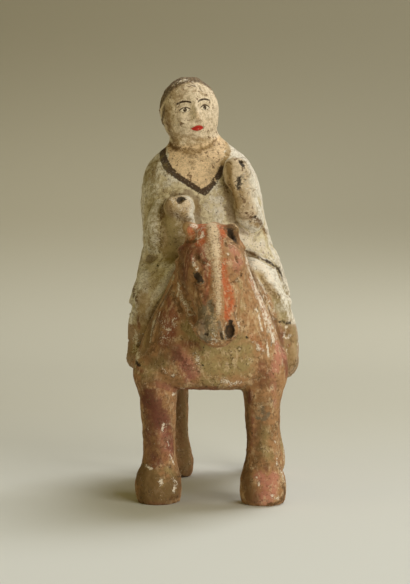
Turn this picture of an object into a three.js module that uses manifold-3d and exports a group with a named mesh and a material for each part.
// Terracotta horse and rider, moulded as one piece of painted clay.
// Millimetres, +Z up. The horse faces -Y, so +X is the viewer's right when it is seen from the front.

import * as THREE from 'three';
import { LoftGeometry } from 'three/addons/geometries/LoftGeometry.js';
import { mergeVertices } from 'three/addons/utils/BufferGeometryUtils.js';
import Module from 'manifold-3d';

// Driving dimensions

const HEAD_TOP = 300;
const BODY_X = 1;

const CHEST_Y = -68;
const RUMP_Y = 88;
const TRUNK_WIDTH = 106;
const BACK_Z = 154;
const BELLY_Z = 81;
const SHOULDER_SPREAD = { left: 2, right: 0.5 };

const FRONT_LEG_Y = -55;
const FRONT_LEG_X = { left: -35.4, right: 37.2 };
const HIND_LEG_X = { left: -34, right: 35 };
const HIND_LEG_Y = { left: 56, right: 80 };
const HIP_Y = 60;
const LEG_RADIUS = 12;
const HOOF_RADIUS = 16.5;
const HOOF_HEIGHT = 31;

const POLL_Z = 197;
const MUZZLE = { x: 7.7, y: -99, z: 123 };
const EYE_Z = 161;
const EYE_SPACING = 27;
const EAR_HEIGHT = 13;

const SEAT_Y = 15;
const HEM_Z = 137;
const HEM_RISE = 1.05;
const HEM_TURN_Y = 20;
const SHOULDER_Z = 232;
const RIDER_NECK_Z = 252;
const SOLE_Z = 83;
const SOLE_TILT = 0.35;

const RIDER_HEAD_HALF = { wide: 20.5, deep: 22, high: 24.5 };
const RIDER_HEAD = { x: -18.5, y: 13, z: HEAD_TOP - RIDER_HEAD_HALF.high };
const JAW_FULLNESS = 0.22;
const CROWN_TAPER = 0.1;
const HAIRLINE = { up: 0.8, start: 0.4, soft: 0.15 };
const HAIR_RISE = 0.05;
const HEAD_LEAN = THREE.MathUtils.degToRad(-7);
const HEAD_TURN = THREE.MathUtils.degToRad(15);

const RIGHT_FIST = { x: -22.5, y: -20, z: 206 };
const LEFT_FIST = { x: 20.4, y: -17, z: 236 };
const FIST_HALF = { wide: 9.6, deep: 11, high: 9 };
const FIST_HOLE_RADIUS = 2.4;
const FIST_HOLE_DEPTH = 9;

const CLAY = { color: 0xa98a63, roughness: 0.92, metalness: 0 };

// Fineness of the facets

const TRUNK_SIDES = 24;
const LIMB_SIDES = 12;
const ARM_SIDES = 12;
const DOME_RINGS = 2;
const DOME_TIP = 0.35;
const SMALL_EGG = { across: 10, down: 6 };
const FIST_EGG = { across: 14, down: 9 };
const HEAD_EGG = { across: 30, down: 18 };

const MERGE_WITHIN = 1e-4;

const X_AXIS = new THREE.Vector3(1, 0, 0);
const Y_AXIS = new THREE.Vector3(0, 1, 0);
const Z_AXIS = new THREE.Vector3(0, 0, 1);

const wasm = await Module();
wasm.setup();

// A closed geometry becomes a solid that can be joined and cut.

function solid(geometry) {
  const plain = new THREE.BufferGeometry();
  plain.setAttribute('position', geometry.attributes.position);
  plain.setIndex(geometry.index);
  const merged = mergeVertices(plain, MERGE_WITHIN);
  const vertProperties = new Float32Array(merged.attributes.position.array);
  const index = Array.from(merged.index.array);
  const triVerts = [];
  for (let i = 0; i < index.length; i += 3) {
    const [a, b, c] = index.slice(i, i + 3);
    if (a !== b && b !== c && c !== a) {
      triVerts.push(a, b, c);
    }
  }
  const mesh = new wasm.Mesh({ numProp: 3, vertProperties, triVerts: new Uint32Array(triVerts) });
  return new wasm.Manifold(mesh);
}

// One closed section: an oval whose corners fill out as its fullness rises above 2.

function section(centre, across, along, wide, deep, fullness, sides) {
  const points = [];
  for (let i = 0; i < sides; i += 1) {
    const angle = (2 * Math.PI * i) / sides;
    const c = Math.cos(angle);
    const s = Math.sin(angle);
    const u = Math.sign(c) * Math.abs(c) ** (2 / fullness) * wide;
    const v = Math.sign(s) * Math.abs(s) ** (2 / fullness) * deep;
    points.push(centre.clone().addScaledVector(across, u).addScaledVector(along, v));
  }
  return points;
}

// How far round a rounded end its ring lies, counted from the tip.

function domeAngle(ring) {
  return (Math.PI / 2) * (1 - (ring + DOME_TIP) / (DOME_RINGS + DOME_TIP));
}

// A form drawn through key sections. Each key names its centre x, y, z, its half sizes wide and deep
// and its fullness. Sections lie across the path, or all across one fixed direction when it is given.

function loft(keys, { rings, sides, fixed = null, reference = X_AXIS, domeStart = 0, domeEnd = 0 }) {
  const path = new THREE.CatmullRomCurve3(
    keys.map((k) => new THREE.Vector3(k.x, k.y, k.z)),
    false,
    'centripetal',
  );
  const shape = new THREE.CatmullRomCurve3(
    keys.map((k) => new THREE.Vector3(k.wide, k.deep ?? k.wide, k.fullness ?? 2)),
    false,
    'catmullrom',
    0.5,
  );
  const frameAt = (t) => {
    const direction = (fixed ?? path.getTangent(t)).clone().normalize();
    const across = reference.clone().addScaledVector(direction, -reference.dot(direction)).normalize();
    const along = new THREE.Vector3().crossVectors(direction, across);
    return { centre: path.getPoint(t), size: shape.getPoint(t), direction, across, along };
  };
  const ringAt = (frame, offset, scale) => section(
    frame.centre.clone().addScaledVector(frame.direction, offset),
    frame.across,
    frame.along,
    frame.size.x * scale,
    frame.size.y * scale,
    frame.size.z,
    sides,
  );
  const sections = [];
  if (domeStart > 0) {
    for (let i = 0; i < DOME_RINGS; i += 1) {
      const angle = domeAngle(i);
      sections.push(ringAt(frameAt(0), -domeStart * Math.sin(angle), Math.cos(angle)));
    }
  }
  for (let i = 0; i <= rings; i += 1) {
    sections.push(ringAt(frameAt(i / rings), 0, 1));
  }
  if (domeEnd > 0) {
    for (let i = DOME_RINGS - 1; i >= 0; i -= 1) {
      const angle = domeAngle(i);
      sections.push(ringAt(frameAt(1), domeEnd * Math.sin(angle), Math.cos(angle)));
    }
  }
  return solid(new LoftGeometry(sections, { closed: true, capStart: true, capEnd: true }));
}

// An egg of clay with its long axis upright.

function egg(centre, half, { across, down }) {
  const geometry = new THREE.SphereGeometry(1, across, down);
  geometry.rotateX(Math.PI / 2);
  geometry.scale(half.wide, half.deep, half.high);
  geometry.translate(centre.x, centre.y, centre.z);
  return solid(geometry);
}

function join(list) {
  return list.reduce((sum, piece) => sum.add(piece));
}

// Horse

function trunk() {
  const half = TRUNK_WIDTH / 2;
  const middle = (BACK_Z + BELLY_Z) / 2;
  const high = (BACK_Z - BELLY_Z) / 2;
  const keys = [
    { y: CHEST_Y + 20, z: middle - 6, wide: high - 13, deep: half - 18 },
    { y: -28, z: middle - 1, wide: high - 1, deep: half - 5 },
    { y: -8, z: middle, wide: high, deep: half },
    { y: 18, z: middle + 0.5, wide: high - 1, deep: half - 1 },
    { y: 46, z: middle + 2, wide: high - 2, deep: half - 3 },
    { y: 70, z: middle + 3, wide: high - 2, deep: half - 6 },
    { y: RUMP_Y, z: middle + 2, wide: high - 8, deep: half - 15 },
  ];
  return loft(keys.map((k) => ({ ...k, x: BODY_X, fullness: 2.2 })), {
    rings: 12, sides: TRUNK_SIDES, fixed: Y_AXIS, reference: Z_AXIS, domeStart: 4, domeEnd: 11,
  });
}

function horseNeck() {
  const keys = [
    { x: 0, y: -42, z: BELLY_Z + 3, wide: 46, deep: 28, fullness: 2.5 },
    { x: 0, y: -42, z: 95, wide: 51, deep: 34, fullness: 2.5 },
    { x: 0, y: -42, z: 107, wide: 50.5, deep: 35.5, fullness: 2.4 },
    { x: 0.5, y: -44, z: 122, wide: 45, deep: 34, fullness: 2.2 },
    { x: 1, y: -45.5, z: 138, wide: 38, deep: 33 },
    { x: 1.5, y: -49, z: 154, wide: 30, deep: 30 },
    { x: 2.5, y: -55.5, z: 170, wide: 24.5, deep: 25 },
    { x: 3, y: -58, z: 181, wide: 22, deep: 22 },
    { x: 3, y: -60, z: 188, wide: 16.5, deep: 18.5 },
    { x: 3, y: -61, z: POLL_Z - 4, wide: 12, deep: 14 },
  ];
  return loft(keys, { rings: 14, sides: TRUNK_SIDES, fixed: Z_AXIS, domeStart: 5, domeEnd: 4 });
}

function mane() {
  const keys = [
    { x: 3, y: -58, z: POLL_Z - 5, wide: 3.6, deep: 7 },
    { x: 2.5, y: -41, z: 184, wide: 3.8, deep: 8 },
    { x: 2, y: -33, z: 172, wide: 4.2, deep: 7 },
    { x: 2, y: -31, z: 166, wide: 4.2, deep: 5 },
  ];
  return loft(keys, { rings: 6, sides: 10, domeStart: 3, domeEnd: 2 });
}

function horseHead() {
  const keys = [
    { x: 3, y: -62, z: POLL_Z - 14, wide: 17, deep: 17 },
    { x: 4.2, y: -66, z: 172, wide: 21.5, deep: 21 },
    { x: 5, y: -72, z: 160, wide: 21, deep: 21 },
    { x: 6.2, y: MUZZLE.y + 17, z: 147, wide: 17, deep: 17.5 },
    { x: 7.2, y: MUZZLE.y + 8, z: 134, wide: 13.2, deep: 13.2 },
    { x: MUZZLE.x, y: MUZZLE.y + 2, z: MUZZLE.z + 2, wide: 12.6, deep: 11.5 },
    { x: MUZZLE.x, y: MUZZLE.y - 0.5, z: MUZZLE.z - 3.5, wide: 11, deep: 9.5 },
  ];
  const skull = loft(keys, { rings: 13, sides: 22, domeStart: 10, domeEnd: 3.5 });
  const brows = ['left', 'right'].map((side) => {
    const sign = side === 'left' ? -1 : 1;
    const brow = { x: 5.5 + sign * EYE_SPACING * 0.45, y: -79, z: EYE_Z + 5.5 };
    return egg(brow, { wide: 7, deep: 7, high: 8 }, SMALL_EGG);
  });
  return join([skull, ...brows]);
}

function horseEyes() {
  return ['left', 'right'].map((side) => {
    const sign = side === 'left' ? -1 : 1;
    const eye = { x: 7 + sign * EYE_SPACING * 0.54, y: -87.5, z: EYE_Z - 1 };
    return egg(eye, { wide: 4, deep: 3.4, high: 2.8 }, SMALL_EGG);
  });
}

function nostrils() {
  const open = { x: MUZZLE.x + 8.2, y: MUZZLE.y - 8, z: MUZZLE.z + 4 };
  const shallow = { x: MUZZLE.x - 9, y: MUZZLE.y - 8, z: MUZZLE.z + 4.5 };
  return [
    egg(open, { wide: 3.1, deep: 4.5, high: 4.4 }, SMALL_EGG),
    egg(shallow, { wide: 2.6, deep: 2.2, high: 3.6 }, SMALL_EGG),
  ];
}

function ears() {
  return ['left', 'right'].map((side) => {
    const sign = side === 'left' ? -1 : 1;
    const foot = POLL_Z - EAR_HEIGHT - 4;
    const keys = [
      { x: 2.6 + sign * 12.5, y: -62, z: foot, wide: 6.4, deep: 7 },
      { x: 2.6 + sign * 13.6, y: -63, z: foot + 8, wide: 5.4, deep: 5.6 },
      { x: 2.6 + sign * 13.8, y: -64, z: POLL_Z - 2.5, wide: 4.6, deep: 4.4 },
    ];
    const stub = loft(keys, { rings: 3, sides: 10, fixed: Z_AXIS, domeEnd: 2.5 });
    const cup = egg(
      { x: 2.6 + sign * 13, y: -69, z: POLL_Z - 7 },
      { wide: 2.8, deep: 3.4, high: 5.4 },
      SMALL_EGG,
    );
    return stub.subtract(cup);
  });
}

function frontLeg(side) {
  const x = FRONT_LEG_X[side];
  const outward = side === 'left' ? -1 : 1;
  const knee = side === 'left' ? 0.8 : 0.2;
  const spread = SHOULDER_SPREAD[side];
  const keys = [
    { x: x + outward * 0.6, y: FRONT_LEG_Y - 1.5, z: 0, wide: HOOF_RADIUS - 1.8, deep: HOOF_RADIUS - 1 },
    { x: x + outward * 0.6, y: FRONT_LEG_Y - 1.5, z: 6, wide: HOOF_RADIUS - 0.2, deep: HOOF_RADIUS + 0.6 },
    { x: x + outward * 0.6, y: FRONT_LEG_Y - 1, z: 16, wide: HOOF_RADIUS - 0.2, deep: HOOF_RADIUS },
    { x, y: FRONT_LEG_Y, z: HOOF_HEIGHT - 4, wide: LEG_RADIUS + 0.6, deep: LEG_RADIUS + 1 },
    { x, y: FRONT_LEG_Y, z: HOOF_HEIGHT + 8, wide: LEG_RADIUS - 0.8, deep: LEG_RADIUS },
    { x: x + outward * 0.3, y: FRONT_LEG_Y, z: 52, wide: LEG_RADIUS - 0.2, deep: LEG_RADIUS + 0.5 },
    { x: x + outward * knee, y: FRONT_LEG_Y, z: 66, wide: LEG_RADIUS + 0.3, deep: LEG_RADIUS + 2 },
    { x: x + outward * 0.3, y: FRONT_LEG_Y, z: 78, wide: LEG_RADIUS + 1.8, deep: LEG_RADIUS + 5 },
    { x: x + outward * spread, y: FRONT_LEG_Y + 3, z: 88, wide: LEG_RADIUS + 5, deep: LEG_RADIUS + 6 },
    { x, y: FRONT_LEG_Y + 9, z: 104, wide: LEG_RADIUS + 6, deep: LEG_RADIUS + 7 },
  ];
  return loft(keys, { rings: 15, sides: LIMB_SIDES, fixed: Z_AXIS, domeEnd: 9 });
}

function hindLeg(side) {
  const x = HIND_LEG_X[side];
  const y = HIND_LEG_Y[side];
  const outward = side === 'left' ? -1 : 1;
  const keys = [
    { x, y: y - 1.5, z: 0, wide: HOOF_RADIUS - 3, deep: HOOF_RADIUS - 1.5 },
    { x, y: y - 1.5, z: 6, wide: HOOF_RADIUS - 1.6, deep: HOOF_RADIUS },
    { x, y: y - 1, z: 16, wide: HOOF_RADIUS - 2, deep: HOOF_RADIUS - 0.6 },
    { x, y: y + 1, z: HOOF_HEIGHT - 3, wide: LEG_RADIUS - 0.5, deep: LEG_RADIUS + 0.6 },
    { x, y: y + 4, z: HOOF_HEIGHT + 10, wide: LEG_RADIUS - 1.4, deep: LEG_RADIUS },
    { x: x + outward * 0.5, y: y + 6, z: 56, wide: LEG_RADIUS - 1, deep: LEG_RADIUS + 2 },
    { x: x + outward * 2, y: y + 3, z: 70, wide: LEG_RADIUS + 1, deep: LEG_RADIUS + 5 },
    { x: x + outward * 4, y: (y + HIP_Y) / 2, z: 86, wide: LEG_RADIUS + 5, deep: LEG_RADIUS + 12 },
    { x: x + outward * 3, y: (y + 3 * HIP_Y) / 4, z: 106, wide: LEG_RADIUS + 6, deep: LEG_RADIUS + 16 },
  ];
  return loft(keys, { rings: 13, sides: LIMB_SIDES, fixed: Z_AXIS, domeEnd: 12 });
}

function tail() {
  const keys = [
    { x: BODY_X + 1, y: 86, z: 145, wide: 7, deep: 7 },
    { x: BODY_X + 1, y: 96, z: 136, wide: 8.4, deep: 7.5 },
    { x: BODY_X + 1.5, y: 99.5, z: 118, wide: 9.6, deep: 8 },
    { x: BODY_X + 2, y: 99, z: 96, wide: 8.6, deep: 7.2 },
    { x: BODY_X + 2, y: 97, z: 78, wide: 5.5, deep: 5 },
  ];
  return loft(keys, { rings: 8, sides: ARM_SIDES, domeStart: 4, domeEnd: 4 });
}

// Rider

function torso() {
  const keys = [
    { x: -2, y: SEAT_Y + 3, z: 134, wide: 52, deep: 37 },
    { x: -3, y: SEAT_Y + 2, z: 156, wide: 50, deep: 36.5 },
    { x: -5, y: SEAT_Y + 1, z: 176, wide: 47.8, deep: 35.5 },
    { x: -8, y: SEAT_Y, z: 194, wide: 45.4, deep: 33 },
    { x: -9.8, y: SEAT_Y, z: 208, wide: 44.4, deep: 31.5 },
    { x: -10.6, y: SEAT_Y, z: 221, wide: 43, deep: 29 },
    { x: -11.5, y: SEAT_Y, z: SHOULDER_Z, wide: 39.8, deep: 26 },
    { x: -11.4, y: SEAT_Y, z: 238.5, wide: 36, deep: 23.5, fullness: 2.1 },
    { x: -11.2, y: SEAT_Y, z: 244.5, wide: 30, deep: 21.5, fullness: 2 },
    { x: -12, y: SEAT_Y, z: 250, wide: 23, deep: 18.5, fullness: 2 },
    { x: -14.2, y: SEAT_Y, z: RIDER_NECK_Z + 3, wide: 19, deep: 16.5, fullness: 2 },
    { x: -16.8, y: SEAT_Y + 0.5, z: RIDER_NECK_Z + 9, wide: 17.2, deep: 16, fullness: 2 },
  ];
  return loft(keys.map((k) => ({ fullness: 2.25, ...k })), {
    rings: 16, sides: TRUNK_SIDES, fixed: Z_AXIS, domeEnd: 4,
  });
}

function skirt() {
  const keys = [
    { x: -3, y: SEAT_Y + 4, z: HEM_Z, wide: 58.6, deep: 40, fullness: 2.3 },
    { x: -3.2, y: SEAT_Y + 3, z: HEM_Z + 11, wide: 56, deep: 39, fullness: 2.3 },
    { x: -3.6, y: SEAT_Y + 2, z: 161, wide: 52.6, deep: 37, fullness: 2.3 },
    { x: -4.6, y: SEAT_Y + 1, z: 172, wide: 49.4, deep: 34.5, fullness: 2.3 },
    { x: -5.4, y: SEAT_Y, z: 182, wide: 45, deep: 30, fullness: 2.3 },
  ];
  const cloth = loft(keys, { rings: 5, sides: TRUNK_SIDES, fixed: Z_AXIS });
  // The hem climbs towards the front, where the robe parts over the thighs.
  const normal = new THREE.Vector3(0, HEM_RISE, 1).normalize();
  const offset = normal.dot(new THREE.Vector3(0, HEM_TURN_Y, HEM_Z));
  return cloth.trimByPlane(normal.toArray(), offset);
}

function riderLeg(side) {
  const legs = {
    left: [
      { x: -52, y: -10, z: 96, wide: 9, deep: 12 },
      { x: -51.5, y: -11, z: 108, wide: 10.8, deep: 13 },
      { x: -49, y: -15, z: 122, wide: 12.3, deep: 15.5 },
      { x: -43.5, y: -18, z: 136, wide: 14.5, deep: 18.5 },
      { x: -37, y: -16, z: 148, wide: 17, deep: 21 },
      { x: -31, y: -9, z: 160, wide: 18, deep: 21 },
    ],
    right: [
      { x: 51.5, y: -10, z: 96, wide: 9.4, deep: 12 },
      { x: 51.5, y: -11, z: 108, wide: 10.9, deep: 13 },
      { x: 47.5, y: -15, z: 122, wide: 12.5, deep: 15.5 },
      { x: 41, y: -18, z: 136, wide: 14.5, deep: 18.5 },
      { x: 34, y: -16, z: 148, wide: 17, deep: 21 },
      { x: 28, y: -9, z: 160, wide: 18, deep: 21 },
    ],
  };
  const shin = loft(legs[side], { rings: 9, sides: LIMB_SIDES, fixed: Z_AXIS, domeStart: 4, domeEnd: 12 });
  const boots = {
    left: [
      { x: -51, y: -2, z: 100, wide: 9, deep: 9 },
      { x: -52.4, y: -16, z: 99, wide: 9.6, deep: 10 },
      { x: -52.5, y: -30, z: 98, wide: 8.4, deep: 7.8 },
    ],
    right: [
      { x: 50, y: -2, z: 100, wide: 9, deep: 12 },
      { x: 51.6, y: -15, z: 99, wide: 10.8, deep: 15 },
      { x: 51.4, y: -30, z: 98, wide: 9.4, deep: 13.4 },
    ],
  };
  const foot = loft(boots[side], { rings: 5, sides: LIMB_SIDES, domeStart: 5, domeEnd: 6 });
  const tilt = side === 'left' ? 0 : SOLE_TILT;
  const sole = new THREE.Vector3(-tilt, 0, 1).normalize();
  const offset = sole.dot(new THREE.Vector3(boots[side][1].x, 0, SOLE_Z));
  return join([shin, foot.trimByPlane(sole.toArray(), offset)]);
}

function fist(place) {
  return egg(place, FIST_HALF, FIST_EGG);
}

function fistHole(mouth, direction) {
  const bore = new THREE.CylinderGeometry(FIST_HOLE_RADIUS, FIST_HOLE_RADIUS, FIST_HOLE_DEPTH, 10);
  bore.applyQuaternion(new THREE.Quaternion().setFromUnitVectors(Y_AXIS, direction));
  bore.translate(mouth.x, mouth.y, mouth.z);
  return solid(bore);
}

function rightArm() {
  const keys = [
    { x: -29, y: -5, z: 176, wide: 14, deep: 13 },
    { x: -27, y: -10, z: 189, wide: 13, deep: 13 },
    { x: -24, y: -14, z: 200, wide: 11, deep: 11 },
  ];
  const sleeve = loft(keys, { rings: 5, sides: ARM_SIDES, domeStart: 9, domeEnd: 5 });
  const bore = fistHole(
    new THREE.Vector3(RIGHT_FIST.x, RIGHT_FIST.y - 5, RIGHT_FIST.z + 5),
    new THREE.Vector3(0.05, -0.72, 0.69).normalize(),
  );
  return { clay: join([sleeve, fist(RIGHT_FIST)]), bore };
}

function leftArm() {
  const keys = [
    { x: 28, y: -4, z: 194, wide: 9.4, deep: 9.4 },
    { x: 25.4, y: -12, z: 201, wide: 9.4, deep: 9.6 },
    { x: 22.8, y: -14, z: 214, wide: 9, deep: 9.6 },
    { x: 20.6, y: -12.5, z: 227, wide: 8.4, deep: 9.6 },
    { x: 18.8, y: -9.5, z: 236, wide: 7.6, deep: 9.2 },
  ];
  const forearm = loft(keys, { rings: 9, sides: ARM_SIDES, domeStart: 6, domeEnd: 6 });
  const bore = fistHole(
    new THREE.Vector3(LEFT_FIST.x, LEFT_FIST.y, LEFT_FIST.z),
    new THREE.Vector3(0.12, -0.8, 0.58).normalize(),
  );
  return { clay: forearm, bore };
}

// The head is an egg, fuller at the jaw, whose skin is pushed out or in by soft round bumps. A bump's
// place is given across and up the face, as a share of the head's half sizes.

const FACE_BUMPS = [
  { across: 0, up: 0.02, reach: 0.13, rise: 2.2 },
  { across: 0, up: -0.16, reach: 0.15, rise: 3.6 },
  { across: -0.36, up: 0.12, reach: 0.2, rise: -1.4 },
  { across: 0.36, up: 0.12, reach: 0.2, rise: -1.4 },
  { across: -0.46, up: -0.22, reach: 0.26, rise: 0.9 },
  { across: 0.46, up: -0.22, reach: 0.26, rise: 0.9 },
  { across: 0, up: -0.46, reach: 0.17, rise: 1.4 },
  { across: 0, up: -0.78, reach: 0.24, rise: 1.2 },
];

function riderHead() {
  const geometry = new THREE.SphereGeometry(1, HEAD_EGG.across, HEAD_EGG.down);
  geometry.rotateX(Math.PI / 2);
  const position = geometry.attributes.position;
  const point = new THREE.Vector3();
  for (let i = 0; i < position.count; i += 1) {
    point.fromBufferAttribute(position, i);
    const low = Math.max(0, -point.z);
    const high = Math.max(0, point.z);
    const behindHairline = HAIRLINE.up * point.z + point.y - HAIRLINE.start;
    const hair = HAIR_RISE * THREE.MathUtils.smoothstep(behindHairline, 0, HAIRLINE.soft);
    const girth = 1 + JAW_FULLNESS * low * low - CROWN_TAPER * high * high + hair;
    const place = new THREE.Vector3(
      point.x * RIDER_HEAD_HALF.wide * girth,
      point.y * RIDER_HEAD_HALF.deep * girth,
      point.z * RIDER_HEAD_HALF.high,
    );
    const facing = Math.max(0, -point.y);
    for (const bump of FACE_BUMPS) {
      const away = Math.hypot(point.x - bump.across, point.z - bump.up) / bump.reach;
      place.y -= bump.rise * facing * Math.exp(-away * away);
    }
    position.setXYZ(i, place.x, place.y, place.z);
  }
  geometry.rotateZ(HEAD_TURN);
  geometry.rotateY(HEAD_LEAN);
  geometry.translate(RIDER_HEAD.x, RIDER_HEAD.y, RIDER_HEAD.z);
  return solid(geometry);
}

// All of it joined into one solid

function horseAndRider() {
  const horse = join([
    trunk(), horseNeck(), mane(), horseHead(), ...ears(), frontLeg('left'), frontLeg('right'),
    hindLeg('left'), hindLeg('right'), tail(),
  ]);
  const carved = join([...horseEyes(), ...nostrils()]);
  const right = rightArm();
  const left = leftArm();
  const rider = join([
    torso(), skirt(), riderLeg('left'), riderLeg('right'), right.clay, left.clay, riderHead(),
  ]);
  return horse.subtract(carved).add(rider).subtract(right.bore).subtract(left.bore);
}

function toGeometry(manifold) {
  const mesh = manifold.getMesh();
  const geometry = new THREE.BufferGeometry();
  geometry.setAttribute('position', new THREE.BufferAttribute(new Float32Array(mesh.vertProperties), 3));
  geometry.setIndex(new THREE.BufferAttribute(new Uint32Array(mesh.triVerts), 1));
  geometry.computeVertexNormals();
  return geometry;
}

const material = new THREE.MeshStandardMaterial(CLAY);
const figure = new THREE.Mesh(toGeometry(horseAndRider()), material);
figure.name = 'horse_and_rider';

const group = new THREE.Group();
group.add(figure);

export default group;
